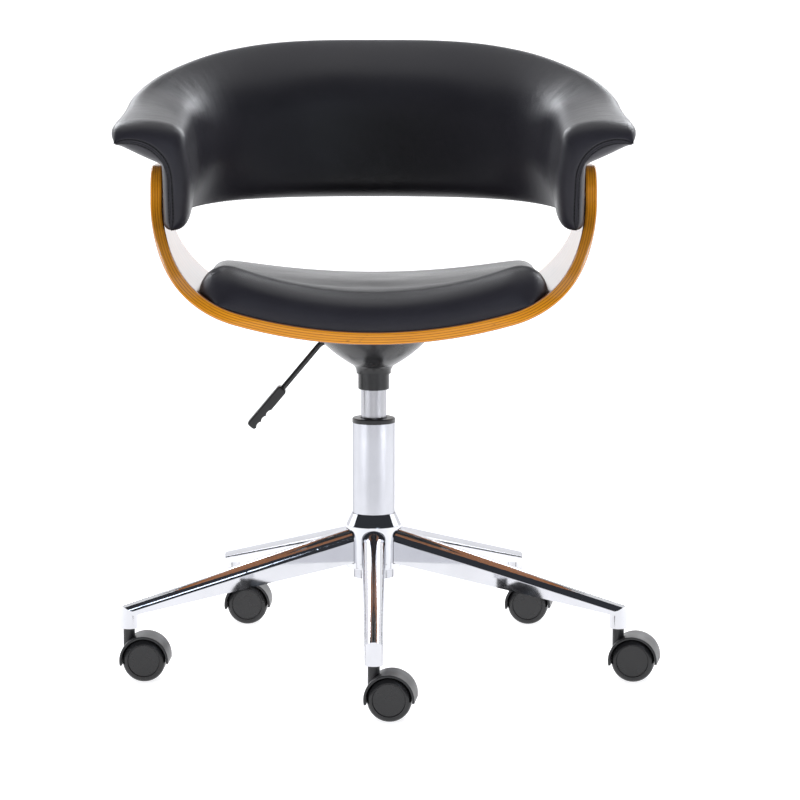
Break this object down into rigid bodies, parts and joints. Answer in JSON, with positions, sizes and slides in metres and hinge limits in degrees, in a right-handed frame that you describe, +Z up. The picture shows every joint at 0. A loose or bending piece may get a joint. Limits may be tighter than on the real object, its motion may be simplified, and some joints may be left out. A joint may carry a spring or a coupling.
{
  "type": "swivel armchair",
  "caption": "Swivel armchair with a padded black wrap-around back and arms on a bent plywood hoop, a gas lift with a lever, and a chromed star base on hooded casters",
  "frame": {"origin": "on the floor, on the swivel axis", "axes": "+Z up, the chair faces -Y, +X is at the sitter's left"},
  "size_m": [0.6377, 0.5926, 0.7289],
  "materials": {
    "chrome": "polished",
    "black_paint": "gloss",
    "black_plastic": "satin",
    "caster_plastic": "satin",
    "wheel_plastic": "gloss",
    "steel": "satin",
    "rubber": "matte",
    "plywood": "satin",
    "leather": "satin"
  },
  "bodies": {
    "base": {"base_hub": "chrome", "base_leg_1": "chrome", "base_leg_2": "chrome", "base_leg_3": "chrome", "base_leg_4": "chrome", "base_leg_5": "chrome", "caster_stems": "steel", "column_tube": "chrome", "guide_sleeve": "black_plastic", "lower_race": "steel", "bearing_balls": "steel"},
    "lift_rod": {"piston_rod": "steel", "piston": "steel", "upper_race": "steel", "rubber_buffer": "rubber", "retaining_clip": "steel"},
    "seat": {"gas_cylinder": "chrome", "taper_socket": "black_paint", "bell_housing": "black_paint", "seat_plate": "black_paint", "lever_bracket": "black_paint", "lever_pivot_pin": "steel", "seat_hoop": "plywood", "plate_bolts": "steel", "plate_tee_nuts": "steel", "cushion_board": "plywood", "cushion_screws": "steel", "seat_cushion": "leather", "backrest_front_pad": "leather", "backrest_back_pad": "leather", "backrest_shell": "plywood", "backrest_inserts": "steel", "backrest_bolts": "steel"},
    "lever": {"lever_rod": "black_paint", "lever_grip": "black_plastic"},
    "release_pin": {"release_pin": "steel"},
    "caster_1": {"caster_hood_1": "caster_plastic", "caster_axle_1": "steel"},
    "wheel_1_left": {"caster_wheel_1_left": "wheel_plastic"},
    "wheel_1_right": {"caster_wheel_1_right": "wheel_plastic"},
    "caster_2": {"caster_hood_2": "caster_plastic", "caster_axle_2": "steel"},
    "wheel_2_left": {"caster_wheel_2_left": "wheel_plastic"},
    "wheel_2_right": {"caster_wheel_2_right": "wheel_plastic"},
    "caster_3": {"caster_hood_3": "caster_plastic", "caster_axle_3": "steel"},
    "wheel_3_left": {"caster_wheel_3_left": "wheel_plastic"},
    "wheel_3_right": {"caster_wheel_3_right": "wheel_plastic"},
    "caster_4": {"caster_hood_4": "caster_plastic", "caster_axle_4": "steel"},
    "wheel_4_left": {"caster_wheel_4_left": "wheel_plastic"},
    "wheel_4_right": {"caster_wheel_4_right": "wheel_plastic"},
    "caster_5": {"caster_hood_5": "caster_plastic", "caster_axle_5": "steel"},
    "wheel_5_left": {"caster_wheel_5_left": "wheel_plastic"},
    "wheel_5_right": {"caster_wheel_5_right": "wheel_plastic"}
  },
  "joints": [
    {"name": "seat_swivel", "type": "hinge", "parent": "base", "child": "lift_rod", "pos_m": [0, 0, 0.11], "axis": [0, 0, 1], "continuous": true},
    {"name": "seat_lift", "type": "slide", "parent": "lift_rod", "child": "seat", "axis": [0, 0, 1], "range_m": [-0.015, 0.085]},
    {"name": "lever_pull", "type": "hinge", "parent": "seat", "child": "lever", "pos_m": [-0.04, 0, 0.38475], "axis": [0, 1, 0], "range_deg": [0, 4.5], "stiffness_Nm_per_rad": 2, "springref_deg": -1.72},
    {"name": "pin_press", "type": "slide", "parent": "seat", "child": "release_pin", "axis": [0, 0, -1], "range_m": [0, 0.0032]},
    {"name": "caster_1_swivel", "type": "hinge", "parent": "base", "child": "caster_1", "pos_m": [0, -0.3, 0.055], "axis": [0, 0, 1], "continuous": true},
    {"name": "wheel_1_left_spin", "type": "hinge", "parent": "caster_1", "child": "wheel_1_left", "pos_m": [0.0189, -0.30199, 0.025], "axis": [0.1045, 0.9945, 0], "continuous": true},
    {"name": "wheel_1_right_spin", "type": "hinge", "parent": "caster_1", "child": "wheel_1_right", "pos_m": [0.0189, -0.30199, 0.025], "axis": [0.1045, 0.9945, 0], "continuous": true},
    {"name": "caster_2_swivel", "type": "hinge", "parent": "base", "child": "caster_2", "pos_m": [0.28532, -0.0927, 0.055], "axis": [0, 0, 1], "continuous": true},
    {"name": "wheel_2_left_spin", "type": "hinge", "parent": "caster_2", "child": "wheel_2_left", "pos_m": [0.30403, -0.096, 0.025], "axis": [0.1736, 0.9848, 0], "continuous": true},
    {"name": "wheel_2_right_spin", "type": "hinge", "parent": "caster_2", "child": "wheel_2_right", "pos_m": [0.30403, -0.096, 0.025], "axis": [0.1736, 0.9848, 0], "continuous": true},
    {"name": "caster_3_swivel", "type": "hinge", "parent": "base", "child": "caster_3", "pos_m": [0.17634, 0.24271, 0.055], "axis": [0, 0, 1], "continuous": true},
    {"name": "wheel_3_left_spin", "type": "hinge", "parent": "caster_3", "child": "wheel_3_left", "pos_m": [0.19515, 0.24006, 0.025], "axis": [0.1392, 0.9903, 0], "continuous": true},
    {"name": "wheel_3_right_spin", "type": "hinge", "parent": "caster_3", "child": "wheel_3_right", "pos_m": [0.19515, 0.24006, 0.025], "axis": [0.1392, 0.9903, 0], "continuous": true},
    {"name": "caster_4_swivel", "type": "hinge", "parent": "base", "child": "caster_4", "pos_m": [-0.17634, 0.24271, 0.055], "axis": [0, 0, 1], "continuous": true},
    {"name": "wheel_4_left_spin", "type": "hinge", "parent": "caster_4", "child": "wheel_4_left", "pos_m": [-0.15736, 0.24171, 0.025], "axis": [0.0523, 0.9986, 0], "continuous": true},
    {"name": "wheel_4_right_spin", "type": "hinge", "parent": "caster_4", "child": "wheel_4_right", "pos_m": [-0.15736, 0.24171, 0.025], "axis": [0.0523, 0.9986, 0], "continuous": true},
    {"name": "caster_5_swivel", "type": "hinge", "parent": "base", "child": "caster_5", "pos_m": [-0.28532, -0.0927, 0.055], "axis": [0, 0, 1], "continuous": true},
    {"name": "wheel_5_left_spin", "type": "hinge", "parent": "caster_5", "child": "wheel_5_left", "pos_m": [-0.26634, -0.0937, 0.025], "axis": [0.0523, 0.9986, 0], "continuous": true},
    {"name": "wheel_5_right_spin", "type": "hinge", "parent": "caster_5", "child": "wheel_5_right", "pos_m": [-0.26634, -0.0937, 0.025], "axis": [0.0523, 0.9986, 0], "continuous": true}
  ],
  "couplings": [
    {"joint": "pin_press", "follows": "lever_pull", "m_per_rad": 0.04}
  ]
}
